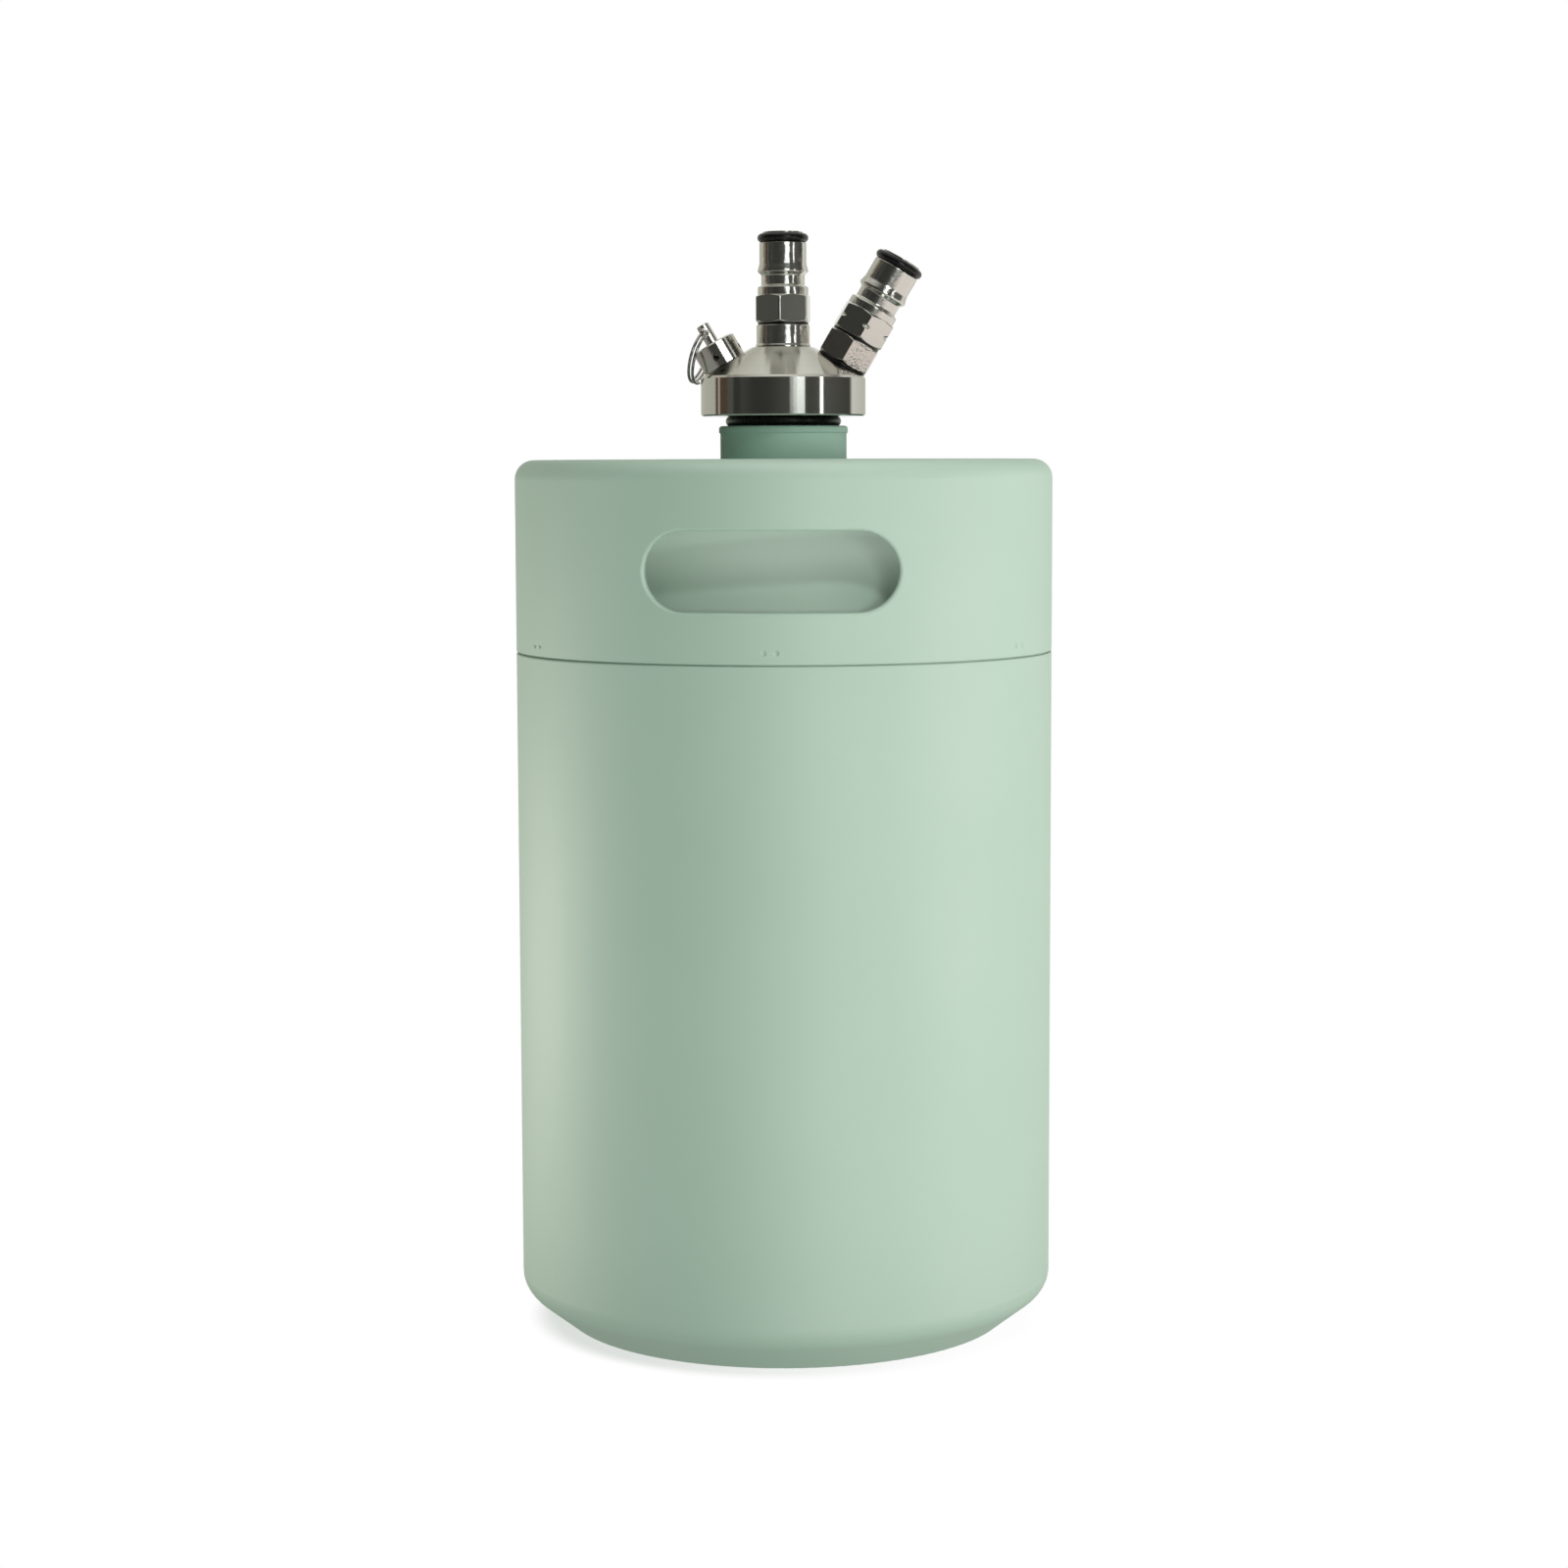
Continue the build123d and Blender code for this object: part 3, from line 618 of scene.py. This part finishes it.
def make_floor_white():
    """White to the camera where no shadow falls, and a painted glow for all other rays, whose level is lower
    near the keg and on the left: painted shade.
    """
    material = bpy.data.materials.new("floor_white")
    material.use_nodes = True
    tree = material.node_tree
    tree.nodes.clear()
    place, parts = coordinates(tree, "Object")
    reach = add_node(tree, "ShaderNodeVectorMath", operation="LENGTH")
    tree.links.new(place, reach.inputs[0])
    distance = reach.outputs["Value"]
    near = ease(tree, distance, FOOT_RADIUS, CONTACT_RADIUS, 1.0, 0.0)
    side = ease(tree, parts["X"], -FOOT_RADIUS, FOOT_RADIUS, *SHADOW_SHARES)
    shadow = combine(tree, "MULTIPLY", near, side)
    # Painted shade: the floor's glow is weaker near the foot.
    glow_level = ease(tree, distance, FOOT_RADIUS, BOUNCE_RADIUS, *PAINTED_GLOW_LEVELS)

    # Painted light: the floor glows in the given colour, and its glow is weaker towards one side by the given
    # shares.
    def glow(colour, width, shares):
        sideways = ease(tree, parts["X"], -width, width, *shares)
        node = add_node(tree, "ShaderNodeEmission", {"Color": (*colour, 1.0)})
        tree.links.new(combine(tree, "MULTIPLY", glow_level, sideways), node.inputs["Strength"])
        return node.outputs["Emission"]

    lit = add_node(tree, "ShaderNodeBsdfDiffuse", {"Color": (*FLOOR_PAINT_AND_GREEN_BOUNCE, 1.0)})
    white = add_node(tree, "ShaderNodeEmission", {"Strength": 1.0})
    path = add_node(tree, "ShaderNodeLightPath")
    seen = blend_shaders(tree, shadow, white.outputs["Emission"], lit.outputs["BSDF"])
    thrown = blend_shaders(tree, watching_ray(tree, path), glow(*PAINTED_FLOOR_BOUNCE), glow(*PAINTED_FLOOR_REFLECTION))
    both = blend_shaders(tree, path.outputs["Is Camera Ray"], thrown, seen)
    output = add_node(tree, "ShaderNodeOutputMaterial")
    tree.links.new(both, output.inputs["Surface"])
    return material


def make_floor():
    """Round white floor that keeps the shadow of the keg and fades into the background."""
    ring = []
    for side in range(FLOOR_SIDES):
        turn = 2 * pi * side / FLOOR_SIDES
        ring.append((FLOOR_RADIUS * cos(turn), FLOOR_RADIUS * sin(turn), 0))
    mesh = bpy.data.meshes.new("floor")
    mesh.from_pydata(ring, [], [range(FLOOR_SIDES)])
    floor = bpy.data.objects.new("floor", mesh)
    floor.location.z = cad_low.z - FLOOR_DROP
    bpy.context.scene.collection.objects.link(floor)
    floor.data.materials.append(make_floor_white())
    return floor


# What polished steel sees round the studio: (degrees from the camera's side towards +X, colour)
WHITE = (1.0, 1.0, 1.0)
PALE = (0.57, 0.57, 0.50)
BROWN = (0.095, 0.065, 0.045)
PINK = (0.80, 0.70, 0.64)
GREY = (0.10, 0.10, 0.092)
DIM = (0.060, 0.060, 0.055)
SHADE = (0.036, 0.036, 0.033)
BRIGHT = (0.85, 0.84, 0.80)
STUDIO_WALL = [
    (-180, WHITE),
    (-172, WHITE),
    (-164, PALE),
    (-108, PALE),
    (-105, BROWN),
    (-101, BROWN),
    (-99, PINK),
    (-96, BROWN),
    (-83, BROWN),
    (-79, GREY),
    (-73, GREY),
    (-69, SHADE),
    (-62, SHADE),
    (-57, DIM),
    (-40, SHADE),
    (-20, SHADE),
    (0, DIM),
    (40, DIM),
    (66, GREY),
    (109, DIM),
    (115, BRIGHT),
    (164, PALE),
    (172, WHITE),
    (180, WHITE),
]

# Above the wall: the elevations between which it turns into the ceiling, and the even light on everything
CEILING = (0.85, 0.85, 0.79)
WALL_TOP = 40
CEILING_EDGE = 65
AMBIENT = 0.16


def make_room(tree):
    """Colour of the studio's wall and ceiling for a direction."""
    _, parts = coordinates(tree, "Generated")
    front = add_node(tree, "ShaderNodeMath", {1: -1.0}, operation="MULTIPLY")
    tree.links.new(parts["Y"], front.inputs[0])
    turn = combine(tree, "ARCTAN2", parts["X"], front.outputs["Value"])
    share = add_node(tree, "ShaderNodeMapRange", {"From Min": -pi, "From Max": pi})
    tree.links.new(turn, share.inputs["Value"])
    stops = [((angle + 180) / 360, colour) for angle, colour in STUDIO_WALL]
    wall = ramp(tree, share.outputs["Result"], stops)
    edges = {"From Min": sin(radians(WALL_TOP)), "From Max": sin(radians(CEILING_EDGE))}
    height = add_node(tree, "ShaderNodeMapRange", edges)
    tree.links.new(parts["Z"], height.inputs["Value"])
    room = add_node(tree, "ShaderNodeMix", data_type="RGBA")
    tree.links.new(height.outputs["Result"], room.inputs["Factor"])
    tree.links.new(wall, room.inputs["A"])
    room.inputs["B"].default_value = (*CEILING, 1.0)
    return room.outputs["Result"]


def make_world():
    """White to the camera, a plain ambient level on the keg, and a studio with a dark front for the steel."""
    world = bpy.data.worlds.new("studio")
    world.use_nodes = True
    bpy.context.scene.world = world
    tree = world.node_tree
    tree.nodes.clear()

    def background(level=1.0, colour=None):
        node = add_node(tree, "ShaderNodeBackground", {"Color": (level, level, level, 1.0)})
        if colour is not None:
            tree.links.new(colour, node.inputs["Color"])
        return node.outputs["Background"]

    path = add_node(tree, "ShaderNodeLightPath")
    room = background(colour=make_room(tree))
    mirrored = blend_shaders(tree, watching_ray(tree, path), background(AMBIENT), room)
    shown = blend_shaders(tree, path.outputs["Is Camera Ray"], mirrored, background())
    output = add_node(tree, "ShaderNodeOutputWorld")
    tree.links.new(shown, output.inputs["Surface"])


# Lamps: name, what they reach, azimuth and elevation, distance, width, height, watts, colour and roll
PLAIN = (1.0, 1.0, 1.0)
WARM = (1.0, 0.95, 0.86)
ROSE = (1.0, 0.89, 0.93)
COOL = (0.94, 1.0, 0.99)
PAINT = "paint_and_floor"
METAL = "metal_and_rubber"
RELIEF = "relief_valve"
LAMPS = [
    ("key", PAINT, 20, 1, 1.6, 0.5, 0.34, 7.8, PLAIN, 0),
    ("high", PAINT, 28, 46, 1.6, 0.3, 0.2, 4.0, PLAIN, 0),
    ("window", PAINT, 75, 0, 1.6, 0.8, 0.36, 8.4, ROSE, 0),
    ("back", PAINT, 115, 10, 1.5, 0.9, 0.5, 3.5, PLAIN, 0),
    ("top", PAINT, 30, 82, 1.3, 0.9, 0.9, 6.5, PLAIN, 0),
    ("rim", PAINT, -105, -13, 0.6, 0.25, 0.10, 1.2, WARM, 0),
    ("side", PAINT, -80, -10, 0.6, 0.25, 0.15, 0.3, PLAIN, 0),
    ("metal_key_wide", METAL, 22.2, 18, 1.6, 0.57, 0.54, 1.539, COOL, 0),
    ("metal_key_middle", METAL, 24.5, 18, 1.6, 0.44, 0.54, 1.188, COOL, 0),
    ("metal_key_narrow", METAL, 27.0, 18, 1.6, 0.30, 0.54, 0.81, COOL, 0),
    ("metal_strip", METAL, 57, 4, 1.6, 0.11, 0.8, 1.0, PLAIN, 0),
    ("relief_key", RELIEF, 31, 20, 1.6, 1.0, 0.4, 6.0, PLAIN, 24),
    ("relief_fill", RELIEF, 80, 31, 1.6, 0.7, 0.3, 1.2, PLAIN, 0),
]


def softbox(name, reached, azimuth, elevation, distance, width, height, power, colour, roll):
    """Area lamp that faces the middle of the keg. Azimuth 0 is the camera's side, towards +X is positive."""
    lamp = bpy.data.lights.new(name, "AREA")
    lamp.shape = "RECTANGLE"
    lamp.size = width
    lamp.size_y = height
    lamp.energy = power
    lamp.color = colour
    holder = bpy.data.objects.new(name, lamp)
    turn = radians(azimuth)
    rise = radians(elevation)
    away = Vector((sin(turn) * cos(rise), -cos(turn) * cos(rise), sin(rise)))
    middle = (cad_low + cad_high) / 2
    place = Matrix.Translation(middle + away * distance)
    facing = away.to_track_quat("Z", "Y").to_matrix().to_4x4()
    holder.matrix_world = place @ facing @ Matrix.Rotation(radians(roll), 4, "Z")
    holder.light_linking.receiver_collection = reached
    bpy.context.scene.collection.objects.link(holder)


def make_lamps(floor):
    """Soft light on the paint and the floor, and smaller, dimmer shapes for the bare metal to mirror."""
    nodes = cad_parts
    paints = (LOOKS["sage_paint"], LOOKS["painted_shade_neck"])
    painted = [node for node in nodes.values() if node.material_slots[0].material in paints]
    leaning = [node for name, node in nodes.items() if name.startswith(RELIEF)]
    upright = [node for node in nodes.values() if node not in painted + leaning]
    members = {PAINT: painted + [floor], RELIEF: leaning, METAL: upright + metal_pieces}
    groups = {}
    for name, things in members.items():
        groups[name] = bpy.data.collections.new(name)
        for thing in things:
            groups[name].objects.link(thing)
    for name, reached, *settings in LAMPS:
        softbox(name, groups[reached], *settings)


def make_camera():
    """Camera at the photograph's place."""
    data = bpy.data.cameras.new("camera")
    data.sensor_width = SENSOR_WIDTH_MM
    data.lens = FOCAL_PIXELS / PHOTO_SIDE * SENSOR_WIDTH_MM
    data.shift_x = CAMERA_SHIFT_PIXELS / PHOTO_SIDE
    camera = bpy.data.objects.new("camera", data)
    turn = Matrix.Rotation(radians(CAMERA_AZIMUTH), 4, "Z")
    tilt = Matrix.Rotation(radians(90 - CAMERA_PITCH), 4, "X")
    roll = Matrix.Rotation(radians(CAMERA_ROLL), 4, "Z")
    place = turn @ Matrix.Translation((0, -CAMERA_DISTANCE, CAMERA_HEIGHT))
    camera.matrix_world = place @ tilt @ roll
    bpy.context.scene.collection.objects.link(camera)
    bpy.context.scene.camera = camera


make_world()
make_lamps(make_floor())
make_camera()
bpy.context.scene.view_settings.view_transform = "Standard"
